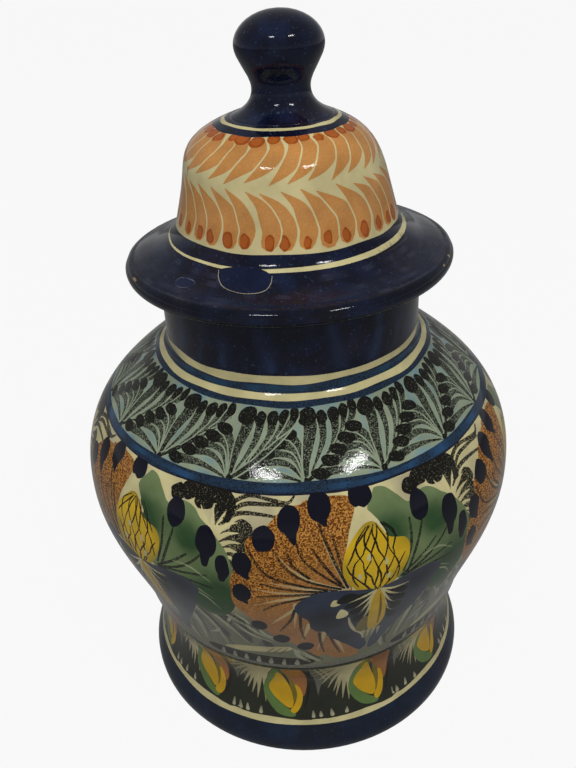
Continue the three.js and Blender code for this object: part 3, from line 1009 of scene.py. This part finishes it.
def belly_undergrowth(sheet):
    """The combed grey leaves and the cream grass between the fans, down to the turn."""
    grey = paint("#53564A")
    for x, y, wide in ((-27, 40, 9), (-21, 44, 8), (-16, 40, 7), (-24, 28, 9), (-17, 28, 8), (-11, 22, 7)):
        sheet.dab(x, y, wide, wide * 1.3, grey, 0.5)
        sheet.brush(((x + 1.5, y - 6), (x + 0.5, y), (x - 1, y + 6)), (2, 4, 1), GREY_INK, (0.7, 1, 0.8))
    for points in (
        ((-16.8, 49), (-14.6, 44), (-14.4, 38), (-12, 33), (-8, 27)),
        ((-17.6, 48), (-19.4, 42), (-21.4, 34)),
        ((-18, 40), (-16.4, 35), (-14, 30), (-9, 25)),
        ((-28, 56), (-29, 48), (-29.4, 40)),
        ((-24, 30), (-26, 25), (-29, 21)),
        ((-12, 40), (-10.6, 33), (-6, 27)),
    ):
        sheet.brush(points, (0.7, 1.6, 1.2, 0.4), paint("#9B9A82"), (0.8, 0.9, 0.6))
    sheet.patch(((-29, 9.6), (-1, 9.4), (-0.6, 4.4), (-29, 4.2)), paint("#2A2A22", ink=0.3), None, 0.3, 8)
    sheet.patch(
        ((-25.5, 11.4), (-20, 16.4), (-12, 19.6), (-5, 21), (-4, 18.4), (-8, 15.6), (-15, 13), (-22, 10.8)),
        paint("#A39A72"),
    )
    for x in (-9, -7, -5.2):
        sheet.brush(((x - 2.6, 14), (x, 19.8)), (1.3, 0.4), paint("#55523F"), (0.6, 0.7))
    for x in range(-27, -2, 4):
        sheet.brush(((x, 4.8), (x + 0.3, 8.4)), (2.2, 0.9), paint("#8D8B79"), (0.85, 0.6))
    for points in (
        ((-3.6, 19), (-2, 12), (1, 6.6)),
        ((-2.4, 18), (0.6, 12), (3.6, 7)),
        ((22, 50), (24, 30), (23, 10)),
        ((25, 58), (29, 36), (28, 12)),
        ((28, 56), (34, 36), (36, 14)),
        ((31, 58), (38, 40), (43, 22)),
        ((34, 60), (40, 48), (47, 36)),
        ((23, 30), (22, 18), (24, 8)),
    ):
        sheet.brush(points, (0.8, 2.8, 1.0), paint("#8E9077"), (0.75, 0.85, 0.5))
        sheet.brush([(x + 1.6, y) for x, y in points], (0.5, 2.0, 0.6), GREY_INK, (0.8, 1, 0.6))


sheet = jar_sheet
sheet.start = jar_profile.beside(FOOT_RADIUS, FOOT_WIDEST_HEIGHT)
sheet.ring(5, 12, FOOT_NAVY, 0.1)
sheet.ring(11.4, 14.8, CREAM, 0.4)
sheet.ring(15.4, 54, paint("#55564A"), 0.3)
for i in range(BUDS):
    sheet.centre = i * 360 / BUDS + sheet.jitter(0.8)
    foot_bud(sheet)
sheet.centre = 0
sheet.measure_from(BELLY_LOW)
sheet.ring(-1.5, 106, CREAM, 0.3)
sheet.ring(-1.5, 106, CREAM_DULL, 0.1, sheet.cloud(0.7))
# Painted shade and grey sheen on the lower belly: a grey wash over the cream, strong low down and fading out
# towards the widest part, where the wall turns away from the light.
sheet.ring(2, 66, paint("#5C5E4C"), 0.3, lambda spots: np.interp(spots[:, 1], (46, 64), (0.95, 0.0)))
sheet.ring(-2, 1, paint("#24251F"), 0.4)
sheet.ring(0.8, 4.2, paint("#6A6A5E", ink=0.2), 0.4)
for motif in (belly_undergrowth, belly_thistle, belly_leaf, belly_fan, belly_fruit, belly_bract):
    for i in range(REPEATS):
        sheet.centre = i * 360 / REPEATS + sheet.jitter(0.4)
        motif(sheet)
sheet.centre = 0
sheet.measure_from(SHOULDER_LOW)
sheet.ring(0, 30, GREY_GREEN, 0.2)
sheet.ring(0, 30, paint("#677F80"), 0.1, sheet.cloud(0.7))
for i in range(FANS):
    sheet.centre = FIRST_FAN + i * 360 / FANS + sheet.jitter(0.8)
    shoulder_fan(sheet)
sheet.centre = 0
for low, high, kind, waver in (
    (29.4, 31.9, BAND_BLUE, 0.3), (31.8, 34.8, CREAM, 0.35), (34.7, 38.3, BAND_BLUE, 0.3),
    (38.2, 41.5, CREAM, 0.5), (-2.7, 1.2, BAND_BLUE, 0.5),
):
    sheet.ring(low, high, kind, waver)
sheet.ring(43, 62, paint("#22304C", cobalt=0.45), 0.5, sheet.cloud(0.6))
sheet.ring(-1.8, 0.2, paint("#1D3C5A"), 0.6, sheet.cloud(0.8))
sheet.ring(35.4, 37.4, paint("#183449"), 0.5, sheet.cloud(0.9))

# The bare clay is the foot ring, and the rim that the lid sits on.
ring_inner = FOOT_RADIUS - FOOT_EDGE - FOOT_RING_WIDTH
beside = jar_profile.beside
jar = glazed("painted_jar", jar_sheet, NAVY, (
    (0.0, CREAM),
    (beside(ring_inner - RECESS_DRAFT / 2, RECESS_DEPTH / 2), None),
    (beside(FOOT_RADIUS - FOOT_EDGE / 2, FOOT_GLAZE_HEIGHT), FOOT_NAVY),
    (jar_sheet.low, PAINTED),
    (jar_sheet.high, NAVY),
    (beside(NECK[0], RIM_HEIGHT - RIM_EDGE / 2), None),
    (beside(MOUTH_RADIUS, RIM_HEIGHT - RIM_EDGE), CREAM),
))
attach(jar, "jar")
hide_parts("jar")

# The lid. Earthenware thrown upside down as a wide hat with a hollow dome, then turned
# over. A collar under its brim drops into the mouth and keeps it from sliding off.
COLLAR_CLEARANCE = 0.0015
COLLAR_DEPTH = 0.013
COLLAR_WALL = 0.005
COLLAR_EDGE = 0.0015
BRIM_CLEARANCE = 0.0016
BRIM_DROOP = 0.0048
LIP_THICKNESS = 0.0072
LIP_ROUNDING = 0.0034
DOME_FOOT = (0.0471, 0.0119)
DOME_FOOT_LEAN = -1.1
DOME_SPRING = (0.0433, 0.0185)
DOME_LEAN = -0.27
DOME_SHOULDER_HEIGHT = 0.0315
DOME_WALL = 0.005
CROWN_FALL = 0.0063
CROWN_THICKNESS = 0.005
CROWN_FULLNESS = 0.8
BRIM_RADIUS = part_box("lid")[1].x
LAND_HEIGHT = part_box("lid_knob")[0].z
KNOB_SEAT_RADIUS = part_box("lid_knob")[1].x


def collar_to_crown():
    """The lid's whole profile, from under its crown, round the collar and brim, and up
    the dome to the flat land that carries the knob."""
    base = RIM_HEIGHT
    crown = LAND_HEIGHT - CROWN_THICKNESS
    shoulder = DOME_SPRING[0] + DOME_LEAN * (DOME_SHOULDER_HEIGHT - DOME_SPRING[1])
    collar = MOUTH_RADIUS - COLLAR_CLEARANCE
    inner = collar - COLLAR_WALL
    end = base - COLLAR_DEPTH
    brim = NECK[0] + BRIM_CLEARANCE
    under = base - BRIM_DROOP
    over = under + LIP_THICKNESS
    lip = BRIM_RADIUS - LIP_ROUNDING
    dome_foot = (DOME_FOOT[0], base + DOME_FOOT[1])
    spring = (DOME_SPRING[0], base + DOME_SPRING[1])
    brim_lean = (dome_foot[0] - lip) / (dome_foot[1] - over)
    corner_height = LAND_HEIGHT - CROWN_FALL
    corner_radius = shoulder + DOME_LEAN * (corner_height - base - DOME_SHOULDER_HEIGHT)
    return Profile(
        [(0, crown)],
        corner(
            (KNOB_SEAT_RADIUS - DOME_WALL, crown),
            (shoulder - DOME_WALL, crown),
            (shoulder - DOME_WALL, base + DOME_SHOULDER_HEIGHT),
        ),
        wall((DOME_SPRING[0] - DOME_WALL, base + DOME_SPRING[1]), DOME_LEAN, (inner, base), 0),
        rounded((inner, end), (0, COLLAR_EDGE), (COLLAR_EDGE, 0)),
        rounded((collar, end), (-COLLAR_EDGE, 0), (0, COLLAR_EDGE)),
        rounded((collar, base), (0, -RING_ROUNDING), (RING_ROUNDING, 0)),
        corner((brim, base), (brim, under), (lip, under)),
        corner((lip, under), (BRIM_RADIUS, under), (BRIM_RADIUS, (under + over) / 2)),
        corner((BRIM_RADIUS, (under + over) / 2), (BRIM_RADIUS, over), (lip, over)),
        wall((lip, over), brim_lean, dome_foot, DOME_FOOT_LEAN),
        wall(dome_foot, DOME_FOOT_LEAN, spring, DOME_LEAN),
        corner(
            (shoulder, base + DOME_SHOULDER_HEIGHT),
            (corner_radius, corner_height),
            (KNOB_SEAT_RADIUS, LAND_HEIGHT),
            CROWN_FULLNESS,
            64,
        ),
        [(0, LAND_HEIGHT)],
    )


lid_profile = collar_to_crown()
lip = float(lid_profile.along[lid_profile.points[:, 0].argmax()])
land_edge = float(lid_profile.along[-1]) - KNOB_SEAT_RADIUS
lid_sheet = Sheet(lid_profile, lip, land_edge, seed=11)

# Each row of feathers: how many, where the first stands, a feather's line from its eye to
# its tip, its widths near the eye, then how far the eye strays, its height and its size.
LOW_FEATHER = ((0, 9.6), (1.3, 14), (-0.6, 18.6), (-5.4, 23), (-13, 27.2))
HIGH_FEATHER = ((0, 46.4), (1.6, 42.6), (-1, 38.4), (-6.8, 34), (-15, 29.8))
FEATHER_ROWS = (
    (36, 0, LOW_FEATHER, (5.6, 6.6), (0.8, 0.7), 10, (3.6, 5.2)),
    (31, 5, HIGH_FEATHER, (5.2, 6.4), (1.2, 0.8), 46.4, (5, 4.4)),
)


def dome_feathers(sheet):
    """The dome: two rows of orange feathers that meet on a jagged cream spine."""
    feather, ground = paint("#AD763C", speckle=0.14), paint("#B3A87C")
    eye, eye_rim = paint("#974E18", speckle=0.1), paint("#863F0E")
    sheet.ring(5.4, 48.8, ground, 0.35)
    for count, first, line, (quill, vane), stray, eye_height, (across, tall) in FEATHER_ROWS:
        for i in range(count):
            x = first + i * 360 / count + sheet.jitter(1.2)
            bend, wide, tip = sheet.jitter(1.4), 1 + sheet.jitter(0.12), sheet.jitter(0.8)
            points = [(x + dx, y) for dx, y in line[:3]]
            points += [(x + line[3][0] + bend, line[3][1]), (x + line[4][0] + bend, line[4][1] + tip)]
            widths = (quill * wide, vane * wide, 5.6 * wide, 3.0, 0.3)
            spot = (x + sheet.jitter(stray[0]), eye_height + sheet.jitter(stray[1]))
            sheet.edged(ground, 1.2, points, widths, feather, (1, 0.95, 0.92, 0.95, 0.9))
            grown = 1 + sheet.jitter(0.25)
            sheet.dab(*spot, across * grown, tall * grown, eye_rim, 0.3)
            sheet.dab(spot[0] - 0.3, spot[1], across * grown * 0.7, tall * grown * 0.74, eye, 0.2)
    sheet.ring(48, 51.2, NAVY, 0.25)
    sheet.ring(51.1, 52.6, CREAM, 0.25)
    sheet.ring(2.6, 5.6, NAVY, 0.3)
    # Painted shade: a darker ring between the brim and the rounded lip, for the shadow in the crease there.
    sheet.ring(-23, -19.4, paint("#05070F", cobalt=0.45), 0.2)
    # Painted sheen: pale grey bands in patches round the brim, for the grey reflection that lies on its
    # glaze.
    for low in (-18.6, -16.2, -12.5, -8.5, -5):
        sheet.ring(low, low + 2.2, paint("#2B2E3E", cobalt=0.5), 0.5, sheet.cloud(0.6))


def ring_of_two_widths(sheet):
    """The outline of the brim's cream ring: thin on the left, where the cobalt ran over it."""
    around = past_the_seam(2)
    turn, waver = np.radians(around), sheet.waver(0.2, 3, 20)
    middle = 0.5 + 0.7 * np.sin(turn - 0.3) + waver(around)
    half = 0.75 + 0.4 * np.sin(turn + 0.2)
    low, high = np.stack([around, middle - half], 1), np.stack([around, middle + half], 1)
    return np.vstack([low, high[::-1]])


def brim_marks(sheet):
    """The brim: a cream ring, a run of glaze outlined in cream, and a few small scars."""
    bare = paint("#7C6650")
    sheet.strokes.append((ring_of_two_widths(sheet), CREAM, None, 0, sheet.start))
    run = (
        (-31.6, -1.2), (-30, -4.6), (-26.2, -7.8), (-20, -9.6), (-15, -9.8), (-10, -8.2), (-7.6, -5),
        (-7.2, -1.6),
    )
    sheet.patch([*run, (-14, 1.2), (-24, 1)], paint("#0A1430", cobalt=0.5), None, 0.1)
    sheet.brush(run, (0.25, 0.3, 0.25, 0.35, 0.25), paint("#9A9478"), (0.9, 0.8, 0.9, 0.75), 0.1)
    oval = (
        (-47.4, -11.6), (-47, -9), (-44.6, -8), (-40, -8), (-38.2, -9.6), (-39.4, -12), (-43, -13.2),
        (-46, -12.8),
    )
    sheet.patch(oval, paint("#141C38", cobalt=0.4), None, 0.1)
    for start in (0, 2, 5):
        sheet.brush(oval[start : start + 3], (0.3, 0.4, 0.3), paint("#6E7280"), (0.2, 0.6, 0.2), 0.1)
    scar = ((-66, -21), (-65.2, -20.4), (-63.6, -20.2), (-62.4, -20.5), (-63.2, -21.1), (-64.8, -21.3))
    sheet.patch(scar, bare, None, 0.2)
    for x, y in ((62, -21), (70, -20.6), (128, -20), (-118, -21)):
        sheet.dab(x, y, 1.8, 1.2, bare, 0.3)
    sheet.brush(((-68, 27.4), (-67.4, 31.4)), (0.5, 0.4), paint("#1B2748"))


lid_sheet.measure_from(RIM_HEIGHT + DOME_FOOT[1])
dome_feathers(lid_sheet)
brim_marks(lid_sheet)
collar_inside = MOUTH_RADIUS - COLLAR_CLEARANCE - COLLAR_WALL
beside = lid_profile.beside
lid = glazed("painted_lid", lid_sheet, NAVY, (
    (0.0, CREAM),
    (beside(collar_inside, RIM_HEIGHT - COLLAR_DEPTH + COLLAR_EDGE), None),
    (beside(NECK[0], RIM_HEIGHT), NAVY),
    (lid_sheet.low, PAINTED),
    (lid_sheet.high, NAVY),
))

# The dome came off the wheel a little lopsided, fuller on its left under the crown. The
# brim warped in the kiln, so it stands higher in front and on its right.
FULLER = 0.0022
FULLEST_HEIGHT = 0.262
FULLEST_RADIUS = 0.03
FULLNESS_REACH = 0.010
BRIM_LIFT = 0.0022
BRIM_TILT = 0.0011
BRIM_HIGH_SIDE = (0.5, -0.87)
WARPED_FROM, WARPED_TO = 0.052, 0.0655
for vertex in lid.data.vertices:
    x, y, z = vertex.co
    out = max(math.hypot(x, y), MM)
    if z > RIM_HEIGHT + DOME_FOOT[1]:
        side = 0.5 - 0.5 * x / out
        swell = FULLER * side * math.exp(-(((z - FULLEST_HEIGHT) / FULLNESS_REACH) ** 2))
        vertex.co = (x * (1 + swell / FULLEST_RADIUS), y * (1 + swell / FULLEST_RADIUS), z)
    share = min(max((out - WARPED_FROM) / (WARPED_TO - WARPED_FROM), 0), 1)
    lift = BRIM_LIFT + BRIM_TILT * (BRIM_HIGH_SIDE[0] * x + BRIM_HIGH_SIDE[1] * y) / out
    vertex.co.z = z + lift * share * share * (3 - 2 * share)
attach(lid, "lid")
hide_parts("lid")

# The knob. A solid ball of earthenware on a flared stem, thrown by itself and luted
# onto the flat top of the dome with slip. Cobalt glaze covers all of it.
KNOB_SEAT_RISE = 0.0034
KNOB_STEM = (0.0109, 0.0095)
KNOB_RADIUS = 0.0164
KNOB_WIDEST_HEIGHT = 0.024
STEM_FULLNESS = 0.67
KNOB_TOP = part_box("lid_knob")[1].z


def stem_to_ball():
    """The knob's profile, from the middle of its seat up to its top."""
    stem = (KNOB_STEM[0], LAND_HEIGHT + KNOB_STEM[1])
    widest = (KNOB_RADIUS, LAND_HEIGHT + KNOB_WIDEST_HEIGHT)
    return Profile(
        [(0, LAND_HEIGHT)],
        corner(
            (KNOB_SEAT_RADIUS, LAND_HEIGHT),
            (KNOB_STEM[0], LAND_HEIGHT + KNOB_SEAT_RISE),
            stem,
            STEM_FULLNESS,
        ),
        wall(stem, 0, widest, 0),
        corner(widest, (KNOB_RADIUS, KNOB_TOP), (0, KNOB_TOP), CIRCULAR, 48),
    )


knob_profile = stem_to_ball()
knob_wall = plain_wall(knob_profile, 0.0, float(knob_profile.along[-1]), NAVY)
knob = assemble("cobalt_knob", knob_profile, [knob_wall])
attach(knob, "lid")
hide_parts("lid_knob")

# The studio: a sheet of white paper under the jar, two small lamps whose
# reflections show in the glaze, and soft light from all round.
PAPER_SIDE = 8
PAPER_SHADE = "#7C7C7A"
PAPER_GLOW = 0.93  # the part of its white that the camera sees wherever no light falls
IN_GLAZE = 0.12  # how much of the white background is left in a reflection in the glaze
ROOM_LOW, ROOM_HIGH = 0.5, 0.3  # the room's light, at the horizon and higher up
ROOM_HIGH_FROM = 0.3
AIM = (0, -0.05, 0.18)  # where the lamps point, the shoulder's front

bpy.ops.mesh.primitive_plane_add(size=PAPER_SIDE, location=(0, 0, 0))
floor = bpy.context.object
floor.name = "paper_floor"
paper = bpy.data.materials.new("white_paper")
floor.data.materials.append(paper)


def seen(shader, light=0.0):
    """A light that is also white wherever the camera looks straight at it, and a little
    less dark in a reflection."""
    rays = shader.add("LightPath").outputs
    for kind, share in (("Is Camera Ray", 1.0), ("Is Transmission Ray", 1.0), ("Is Glossy Ray", IN_GLAZE)):
        share = shader.reckon("MULTIPLY", rays[kind], share)
        light = shader.reckon("MAXIMUM", light, share)
    return light


shader = Shader(paper)
share = shader.reckon("MULTIPLY", seen(shader), PAPER_GLOW)
matt = shader.add("BsdfDiffuse", Color=(*linear(PAPER_SHADE), 1)).outputs[0]
glow = shader.add("Emission", Color=(1, 1, 1, 1), Strength=1.0).outputs[0]
mixed = shader.add("MixShader", _0=share, _1=matt, _2=glow).outputs[0]
shader.add("OutputMaterial", Surface=mixed)


def lamp(name, azimuth, elevation, distance, size, watts, in_glaze=True):
    """A soft box aimed at the shoulder. 0 degrees is the camera's side, 90 its right."""
    light = bpy.data.lights.new(name, "AREA")
    light.shape = "RECTANGLE"
    light.size, light.size_y = size
    light.energy = watts
    hung = put(name, light)
    turn, lift = math.radians(azimuth), math.radians(elevation)
    away = Vector((math.sin(turn) * math.cos(lift), -math.cos(turn) * math.cos(lift), math.sin(lift)))
    hung.location = Vector(AIM) + away * distance
    hung.rotation_euler = away.to_track_quat("Z", "Y").to_euler()
    hung.visible_glossy = in_glaze


lamp("lamp_left", -24, 51, 3, (0.6, 0.17), 16)
lamp("lamp_right", 42, 50, 3, (0.6, 0.17), 16)
lamp("soft_overhead", -10, 70, 1.2, (1.2, 1.2), 7, in_glaze=False)
lamp("soft_front", 4, 30, 1.5, (1.2, 1.2), 7, in_glaze=False)

world = bpy.data.worlds.new("soft_room")
bpy.context.scene.world = world
shader = Shader(world)
ahead = shader.add("TexCoord").outputs["Generated"]
height = shader.add("SeparateXYZ", Vector=ahead).outputs["Z"]
level = seen(shader, shader.ramp(height, 0.0, ROOM_HIGH_FROM, ROOM_LOW, ROOM_HIGH))
sky = shader.add("Background", Color=(1, 1, 1, 1), Strength=level).outputs[0]
shader.add("OutputWorld", Surface=sky)
bpy.context.scene.view_settings.view_transform = "Standard"
